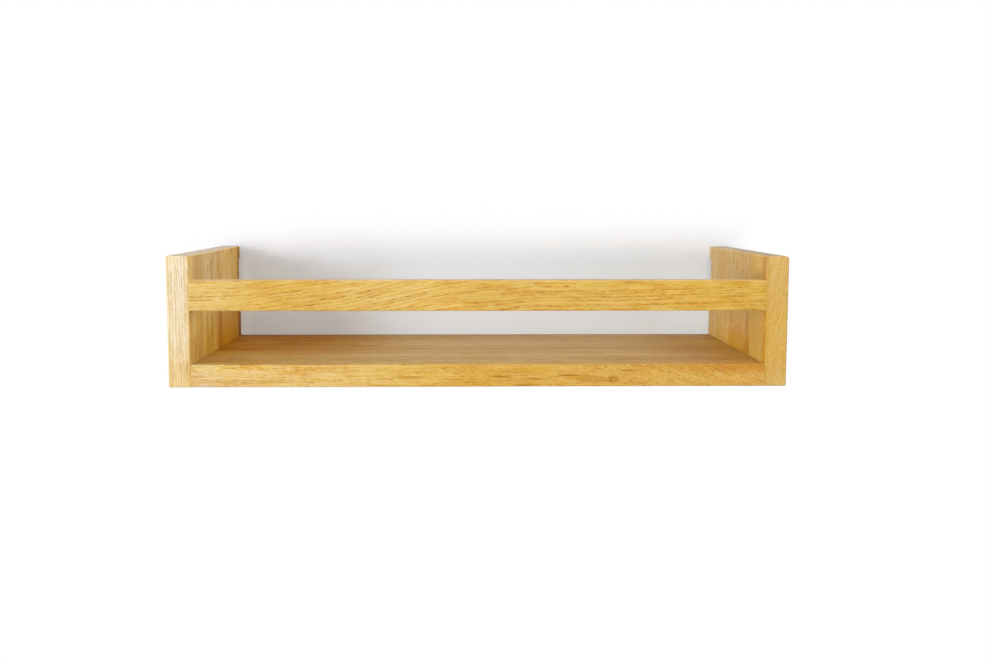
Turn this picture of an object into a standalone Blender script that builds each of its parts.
"""Oak wall shelf with a front rail, open at the back.

Two side panels and the shelf board between them are glued up from staves. One rail runs
across the front. Hidden dowels join the board and the rail to the sides, and a keyhole plate
let into the back edge of each side hangs the shelf on two screws in the wall.

Metres. +X is to the right, +Y into the wall and +Z up. The origin is the middle of the shelf
board's back edge, on the wall.
"""

import math

import bmesh
import bpy

# Overall sizes
OVERALL_WIDTH = 0.600
OVERALL_DEPTH = 0.264
OVERALL_HEIGHT = 0.127

# Planed stock, and the clear height between the board and the rail
SIDE_THICKNESS = 0.0215
BOARD_THICKNESS = 0.022
RAIL_THICKNESS = 0.020
RAIL_HEIGHT = 0.0295
RAIL_ABOVE_BOARD = 0.052

# Stave widths from the front edge back; one more stave takes what is left of the depth
LEFT_STAVE_WIDTHS = (0.065, 0.066, 0.084, 0.031)
RIGHT_STAVE_WIDTHS = (0.063, 0.095, 0.067)
BOARD_STAVE_WIDTHS = (0.080, 0.075, 0.058)
NARROWEST_STAVE = 0.016

# Glued faces lie this far apart, and a piece in a hole or a seat has this much round it
JOINT_GAP = 0.0003
FIT_CLEARANCE = 0.0003

# Sanded arrises
ARRIS_RADIUS = 0.0012
BOARD_LIP_RADIUS = 0.0006
RIGHT_TOP_OUTER_RADIUS = 0.003
ARRIS_SEGMENTS = 3

# Dowels between the board and the sides
BOARD_DOWEL_DIAMETER = 0.008
BOARD_DOWEL_LENGTH = 0.030
BOARD_DOWEL_COUNT = 4
BOARD_DOWEL_FROM_EDGE = 0.030

# Dowels between the rail and the sides
RAIL_DOWEL_DIAMETER = 0.006
RAIL_DOWEL_LENGTH = 0.030
RAIL_DOWEL_COUNT = 2
RAIL_DOWEL_PITCH = 0.014

# What the two kinds of dowel share
DOWEL_IN_SIDE = 0.012
DOWEL_CHAMFER = 0.0010
DOWEL_FLUTE_DEPTH = 0.0003
DOWEL_SIDES = 24

# Keyhole plate and its place below the top of the side
PLATE_LENGTH = 0.050
PLATE_WIDTH = 0.016
PLATE_THICKNESS = 0.002
PLATE_BELOW_TOP = 0.004
PLATE_BELOW_FLUSH = 0.0003
KEYHOLE_ENTRY_DIAMETER = 0.010
KEYHOLE_SLOT_WIDTH = 0.005
KEYHOLE_TRAVEL = 0.012

# Notch across the side's back edge, behind the plate, for the wall screw's head
NOTCH_LENGTH = 0.030
NOTCH_DEPTH = 0.007

# Countersunk screws that hold the plate
SCREW_PITCH = 0.040
SCREW_LENGTH = 0.016
SCREW_DIAMETER = 0.003
SCREW_HEAD_DIAMETER = 0.006
SCREW_RIM = 0.0002
SCREW_POINT_LENGTH = 0.003
SCREW_POINT_DIAMETER = 0.0006
RECESS_WIDTH = 0.0008
RECESS_SPAN = 0.0030
RECESS_DEPTH = 0.0010
ROUND_SIDES = 24
ARC_STEPS = 12

# A cutter runs past the faces it opens by this much
CUT_OVERRUN = 0.005

# Places that follow from the sizes
LEFT_OUTER = -OVERALL_WIDTH / 2
RIGHT_OUTER = OVERALL_WIDTH / 2
LEFT_INNER = LEFT_OUTER + SIDE_THICKNESS
RIGHT_INNER = RIGHT_OUTER - SIDE_THICKNESS
FRONT = -OVERALL_DEPTH
BACK = 0.0
BOTTOM = -BOARD_THICKNESS / 2
BOARD_TOP = BOTTOM + BOARD_THICKNESS
TOP = BOTTOM + OVERALL_HEIGHT
RAIL_BOTTOM = BOARD_TOP + RAIL_ABOVE_BOARD
RAIL_TOP = RAIL_BOTTOM + RAIL_HEIGHT

# Colours as seen, red, green and blue from 0 to 255, front stave first
LEFT_TONES = ((214, 184, 124), (206, 172, 112), (198, 156, 94), (190, 148, 88), (150, 104, 58))
RIGHT_TONES = ((214, 170, 88), (200, 156, 92), (204, 162, 98), (206, 166, 106))
BOARD_TONES = ((226, 180, 98), (192, 152, 100), (184, 144, 94), (178, 136, 86))
RAIL_TONE = (224, 184, 102)
DOWEL_TONE = (214, 180, 132)
ZINC_TONE = (188, 190, 192)
OAK_ROUGHNESS = 0.45
DOWEL_ROUGHNESS = 0.65
ZINC_ROUGHNESS = 0.35


def linear(channel):
    """Linear light of one colour channel given as 0 to 255."""
    value = channel / 255.0
    if value <= 0.04045:
        return value / 12.92
    return ((value + 0.055) / 1.055) ** 2.4


def finish(obj, tone, roughness, metallic=0.0):
    """Give an object a material of its own."""
    material = bpy.data.materials.new(obj.name + "_finish")
    material.use_nodes = True
    shader = material.node_tree.nodes["Principled BSDF"]
    shader.inputs["Base Color"].default_value = (*[linear(c) for c in tone], 1.0)
    shader.inputs["Roughness"].default_value = roughness
    shader.inputs["Metallic"].default_value = metallic
    obj.material_slots[0].link = "OBJECT"
    obj.material_slots[0].material = material


def mesh_from(bm, name, smooth=False):
    """Turn a bmesh into a mesh with one empty material slot."""
    bmesh.ops.recalc_face_normals(bm, faces=bm.faces)
    mesh = bpy.data.meshes.new(name)
    bm.to_mesh(mesh)
    bm.free()
    mesh.materials.append(None)
    if smooth:
        mesh.shade_smooth()
        mesh.set_sharp_from_angle(angle=math.radians(40))
    return mesh


def place(name, mesh, location=(0.0, 0.0, 0.0), rotation=(0.0, 0.0, 0.0), parent=None):
    """Link an object that uses a mesh."""
    obj = bpy.data.objects.new(name, mesh)
    bpy.context.scene.collection.objects.link(obj)
    obj.location = location
    obj.rotation_euler = rotation
    obj.parent = parent
    return obj


def as_cutter(obj):
    """Keep an object out of the finished part."""
    obj.hide_render = True
    obj.display_type = "WIRE"
    return obj


def cut(obj, cutter):
    """Subtract a cutter from an object."""
    modifier = obj.modifiers.new(cutter.name, "BOOLEAN")
    modifier.operation = "DIFFERENCE"
    modifier.solver = "EXACT"
    modifier.object = cutter


def turned(name, profile, sides, flute_depth=0.0):
    """A turned solid about Z from (height, radius) pairs; a flute draws in every other point."""
    bm = bmesh.new()
    rings = []
    for height, radius in profile:
        ring = []
        for i in range(sides):
            angle = 2 * math.pi * i / sides
            reach = radius - flute_depth * (i % 2)
            ring.append(bm.verts.new((reach * math.cos(angle), reach * math.sin(angle), height)))
        rings.append(ring)
    for lower, upper in zip(rings, rings[1:]):
        for i in range(sides):
            j = (i + 1) % sides
            bm.faces.new((lower[i], lower[j], upper[j], upper[i]))
    bm.faces.new(rings[0])
    bm.faces.new(rings[-1])
    return mesh_from(bm, name, smooth=True)


def prism(name, outline, low, high):
    """A flat outline in X and Y carried along Z from low to high."""
    bm = bmesh.new()
    floor = bm.faces.new([bm.verts.new((x, y, low)) for x, y in outline])
    lifted = bmesh.ops.extrude_face_region(bm, geom=[floor])["geom"]
    moved = [item for item in lifted if isinstance(item, bmesh.types.BMVert)]
    bmesh.ops.translate(bm, verts=moved, vec=(0.0, 0.0, high - low))
    return mesh_from(bm, name)


def arc(centre_y, radius, start, end):
    """Points on an arc about (0, centre_y), from one angle in degrees to another."""
    points = []
    for i in range(ARC_STEPS + 1):
        angle = math.radians(start + (end - start) * i / ARC_STEPS)
        points.append((radius * math.cos(angle), centre_y + radius * math.sin(angle)))
    return points


def stadium(length, width):
    """Outline with round ends, long along Y."""
    reach = (length - width) / 2
    return arc(reach, width / 2, 0, 180) + arc(-reach, width / 2, 180, 360)


def keyhole():
    """Outline of the keyhole: a round entry below and a narrow slot with a round top."""
    entry = KEYHOLE_ENTRY_DIAMETER / 2
    slot = KEYHOLE_SLOT_WIDTH / 2
    mouth = math.degrees(math.asin(slot / entry))
    low = -KEYHOLE_TRAVEL / 2
    high = KEYHOLE_TRAVEL / 2
    return arc(low, entry, 90 + mouth, 450 - mouth) + arc(high, slot, 0, 180)


def cross(span, width):
    """Outline of a cross with four equal arms."""
    long = span / 2
    short = width / 2
    return [
        (short, -long), (short, -short), (long, -short), (long, short),
        (short, short), (short, long), (-short, long), (-short, short),
        (-long, short), (-long, -short), (-short, -short), (-short, -long),
    ]


FACE_OF_NORMAL = {
    (-1, 0, 0): "left", (1, 0, 0): "right",
    (0, -1, 0): "front", (0, 1, 0): "back",
    (0, 0, -1): "bottom", (0, 0, 1): "top",
}


def timber(name, low, high, arrises, tone):
    """A planed length of oak between two corners.

    Arrises maps a pair of face names to the radius that their shared edge is sanded to.
    """
    centre = [(a + b) / 2 for a, b in zip(low, high)]
    size = [b - a for a, b in zip(low, high)]
    bm = bmesh.new()
    bmesh.ops.create_cube(bm, size=1.0)
    bmesh.ops.scale(bm, vec=size, verts=bm.verts)
    widest = max(arrises.values(), default=0.0)
    weight = bm.edges.layers.float.new("bevel_weight_edge")
    for edge in bm.edges:
        faces = {FACE_OF_NORMAL[tuple(round(n) for n in f.normal)] for f in edge.link_faces}
        for pair, radius in arrises.items():
            if faces == set(pair):
                edge[weight] = radius / widest
    obj = place(name, mesh_from(bm, name), centre)
    if arrises:
        bevel = obj.modifiers.new("sanded_arrises", "BEVEL")
        bevel.limit_method = "WEIGHT"
        bevel.width = widest
        bevel.segments = ARRIS_SEGMENTS
    finish(obj, tone, OAK_ROUGHNESS)
    return obj


def stave_spans(widths):
    """Front and back of each stave of a panel, with half a glue gap taken off at each joint."""
    edges = [FRONT]
    for width in widths:
        if edges[-1] + width > BACK - NARROWEST_STAVE:
            break
        edges.append(edges[-1] + width)
    edges.append(BACK)
    spans = []
    for front, back in zip(edges, edges[1:]):
        near = front if front == FRONT else front + JOINT_GAP / 2
        far = back if back == BACK else back - JOINT_GAP / 2
        spans.append((near, far))
    return spans


def tone_of(tones, index):
    """The tone of a stave, the last one again where there are more staves than tones."""
    return tones[min(index, len(tones) - 1)]


def side_panel(side, widths, tones):
    """One side panel: staves with upright grain, side by side from front to back."""
    inner = "right" if side == "left" else "left"
    x_low = LEFT_OUTER if side == "left" else RIGHT_INNER
    top_outer = ARRIS_RADIUS if side == "left" else RIGHT_TOP_OUTER_RADIUS
    spans = stave_spans(widths)
    staves = []
    for index, (front, back) in enumerate(spans):
        arrises = {
            ("top", side): top_outer,
            ("top", inner): ARRIS_RADIUS,
            ("bottom", side): ARRIS_RADIUS,
        }
        if index == 0:
            arrises[("front", side)] = ARRIS_RADIUS
            arrises[("front", "top")] = ARRIS_RADIUS
            arrises[("front", "bottom")] = ARRIS_RADIUS
        if index == len(spans) - 1:
            arrises[("back", "top")] = ARRIS_RADIUS
        staves.append(timber(
            f"{side}_side_stave_{index + 1}",
            (x_low, front, BOTTOM),
            (x_low + SIDE_THICKNESS, back, TOP),
            arrises,
            tone_of(tones, index),
        ))
    return staves


def shelf_board():
    """The board: staves along X between the sides, flush with their front, back and bottom."""
    spans = stave_spans(BOARD_STAVE_WIDTHS)
    staves = []
    for index, (front, back) in enumerate(spans):
        arrises = {}
        if index == 0:
            arrises[("front", "top")] = BOARD_LIP_RADIUS
            arrises[("front", "bottom")] = ARRIS_RADIUS
        staves.append(timber(
            f"board_stave_{index + 1}",
            (LEFT_INNER + JOINT_GAP, front, BOTTOM),
            (RIGHT_INNER - JOINT_GAP, back, BOARD_TOP),
            arrises,
            tone_of(BOARD_TONES, index),
        ))
    return staves


def front_rail():
    """The rail across the front, flush with the sides' front edges."""
    return timber(
        "front_rail",
        (LEFT_INNER + JOINT_GAP, FRONT, RAIL_BOTTOM),
        (RIGHT_INNER - JOINT_GAP, FRONT + RAIL_THICKNESS, RAIL_TOP),
        {
            ("front", "top"): ARRIS_RADIUS,
            ("front", "bottom"): ARRIS_RADIUS,
            ("back", "top"): ARRIS_RADIUS,
            ("back", "bottom"): ARRIS_RADIUS,
        },
        RAIL_TONE,
    )


def dowel_mesh(name, diameter, length):
    """A fluted dowel with chamfered ends, its middle at the origin."""
    radius = diameter / 2
    half = length / 2
    profile = (
        (-half, radius - DOWEL_CHAMFER),
        (-half + DOWEL_CHAMFER, radius),
        (half - DOWEL_CHAMFER, radius),
        (half, radius - DOWEL_CHAMFER),
    )
    return turned(name, profile, DOWEL_SIDES, DOWEL_FLUTE_DEPTH)


def dowel_hole_mesh(name, diameter, length):
    """The drilled hole that a dowel sits in."""
    radius = diameter / 2 + FIT_CLEARANCE
    half = length / 2 + FIT_CLEARANCE
    return turned(name, ((-half, radius), (half, radius)), ROUND_SIDES)


def dowel_joint(side, kind, places, dowel, hole, length, wood):
    """Dowels across the joint between a side panel and what butts against it."""
    along = length / 2 - DOWEL_IN_SIDE
    x = LEFT_INNER + along if side == "left" else RIGHT_INNER - along
    for number, (y, z) in enumerate(places, start=1):
        name = f"{side}_{kind}_dowel_{number}"
        turn = (0.0, math.pi / 2, 0.0)
        finish(place(name, dowel, (x, y, z), turn), DOWEL_TONE, DOWEL_ROUGHNESS)
        cutter = as_cutter(place(name + "_hole", hole, (x, y, z), turn))
        for piece in wood:
            cut(piece, cutter)


def board_dowel_places():
    """Where the board's dowels lie: spread evenly over the depth, at mid thickness."""
    first = FRONT + BOARD_DOWEL_FROM_EDGE
    last = BACK - BOARD_DOWEL_FROM_EDGE
    step = (last - first) / (BOARD_DOWEL_COUNT - 1)
    middle = (BOTTOM + BOARD_TOP) / 2
    return [(first + step * i, middle) for i in range(BOARD_DOWEL_COUNT)]


def rail_dowel_places():
    """Where the rail's dowels lie: one above the other, at mid thickness."""
    y = FRONT + RAIL_THICKNESS / 2
    lowest = (RAIL_BOTTOM + RAIL_TOP - RAIL_DOWEL_PITCH * (RAIL_DOWEL_COUNT - 1)) / 2
    return [(y, lowest + RAIL_DOWEL_PITCH * i) for i in range(RAIL_DOWEL_COUNT)]


def screw_profile(extra=0.0):
    """Countersunk screw along +Z with its head at Z = 0, grown all round by extra."""
    head = SCREW_HEAD_DIAMETER / 2 + extra
    shank = SCREW_DIAMETER / 2 + extra
    neck = SCREW_RIM + (SCREW_HEAD_DIAMETER - SCREW_DIAMETER) / 2
    return [(0.0, head), (SCREW_RIM, head), (neck, shank)]


def screw_mesh():
    """The screw: head, shank and a point."""
    profile = screw_profile() + [
        (SCREW_LENGTH - SCREW_POINT_LENGTH, SCREW_DIAMETER / 2),
        (SCREW_LENGTH, SCREW_POINT_DIAMETER / 2),
    ]
    return turned("plate_screw", profile, ROUND_SIDES)


def screw_hole_mesh():
    """The countersunk hole in the plate and the pilot hole in the wood, as one cutter."""
    profile = screw_profile(FIT_CLEARANCE)
    profile.insert(0, (-CUT_OVERRUN, profile[0][1]))
    profile.append((SCREW_LENGTH + FIT_CLEARANCE, profile[-1][1]))
    return turned("screw_hole", profile, ROUND_SIDES)


def hanger_meshes():
    """Meshes that both hangers share, in the hanger's own frame: Y up, Z into the wood."""
    seat_depth = PLATE_THICKNESS + FIT_CLEARANCE
    notch = ((-1, -1), (1, -1), (1, 1), (-1, 1))
    half_across = SIDE_THICKNESS / 2 + CUT_OVERRUN
    half_up = NOTCH_LENGTH / 2
    notch_outline = [(x * half_across, y * half_up) for x, y in notch]
    seat_outline = stadium(PLATE_LENGTH + 2 * FIT_CLEARANCE, PLATE_WIDTH + 2 * FIT_CLEARANCE)
    return {
        "plate": prism("hanger_plate", stadium(PLATE_LENGTH, PLATE_WIDTH), 0.0, PLATE_THICKNESS),
        "keyhole": prism("keyhole", keyhole(), -CUT_OVERRUN, PLATE_THICKNESS + CUT_OVERRUN),
        "seat": prism("plate_seat", seat_outline, -CUT_OVERRUN, seat_depth),
        "notch": prism("notch", notch_outline, -CUT_OVERRUN, NOTCH_DEPTH - PLATE_BELOW_FLUSH),
        "screw": screw_mesh(),
        "screw_hole": screw_hole_mesh(),
        "recess": prism("recess", cross(RECESS_SPAN, RECESS_WIDTH), -CUT_OVERRUN, RECESS_DEPTH),
    }


def hanger(side, meshes, wood):
    """The keyhole plate and its screws, let into the back edge of a side panel."""
    centre = (LEFT_OUTER + LEFT_INNER) / 2 if side == "left" else (RIGHT_INNER + RIGHT_OUTER) / 2
    height = TOP - PLATE_BELOW_TOP - PLATE_LENGTH / 2
    frame = place(
        f"{side}_hanger",
        None,
        (centre, BACK - PLATE_BELOW_FLUSH, height),
        (math.pi / 2, 0.0, 0.0),
    )
    plate = place(f"{side}_hanger_plate", meshes["plate"], parent=frame)
    finish(plate, ZINC_TONE, ZINC_ROUGHNESS, 1.0)
    cut(plate, as_cutter(place(f"{side}_keyhole", meshes["keyhole"], parent=frame)))
    wood_cutters = [
        as_cutter(place(f"{side}_notch", meshes["notch"], parent=frame)),
        as_cutter(place(f"{side}_plate_seat", meshes["seat"], parent=frame)),
    ]
    for word, along in (("upper", SCREW_PITCH / 2), ("lower", -SCREW_PITCH / 2)):
        spot = (0.0, along, 0.0)
        screw = place(f"{side}_{word}_plate_screw", meshes["screw"], spot, parent=frame)
        finish(screw, ZINC_TONE, ZINC_ROUGHNESS, 1.0)
        recess = place(f"{side}_{word}_recess", meshes["recess"], spot, parent=frame)
        cut(screw, as_cutter(recess))
        hole = place(f"{side}_{word}_screw_hole", meshes["screw_hole"], spot, parent=frame)
        cut(plate, as_cutter(hole))
        wood_cutters.append(hole)
    for piece in wood:
        for cutter in wood_cutters:
            cut(piece, cutter)


def build():
    """Make the whole shelf."""
    for obj in list(bpy.data.objects):
        bpy.data.objects.remove(obj)
    sides = {
        "left": side_panel("left", LEFT_STAVE_WIDTHS, LEFT_TONES),
        "right": side_panel("right", RIGHT_STAVE_WIDTHS, RIGHT_TONES),
    }
    board = shelf_board()
    rail = front_rail()
    board_dowel = dowel_mesh("board_dowel", BOARD_DOWEL_DIAMETER, BOARD_DOWEL_LENGTH)
    board_hole = dowel_hole_mesh("board_dowel_hole", BOARD_DOWEL_DIAMETER, BOARD_DOWEL_LENGTH)
    rail_dowel = dowel_mesh("rail_dowel", RAIL_DOWEL_DIAMETER, RAIL_DOWEL_LENGTH)
    rail_hole = dowel_hole_mesh("rail_dowel_hole", RAIL_DOWEL_DIAMETER, RAIL_DOWEL_LENGTH)
    hanger_parts = hanger_meshes()
    for side, staves in sides.items():
        dowel_joint(side, "board", board_dowel_places(), board_dowel, board_hole,
                    BOARD_DOWEL_LENGTH, staves + board)
        dowel_joint(side, "rail", rail_dowel_places(), rail_dowel, rail_hole,
                    RAIL_DOWEL_LENGTH, staves + [rail])
        hanger(side, hanger_parts, staves)


build()
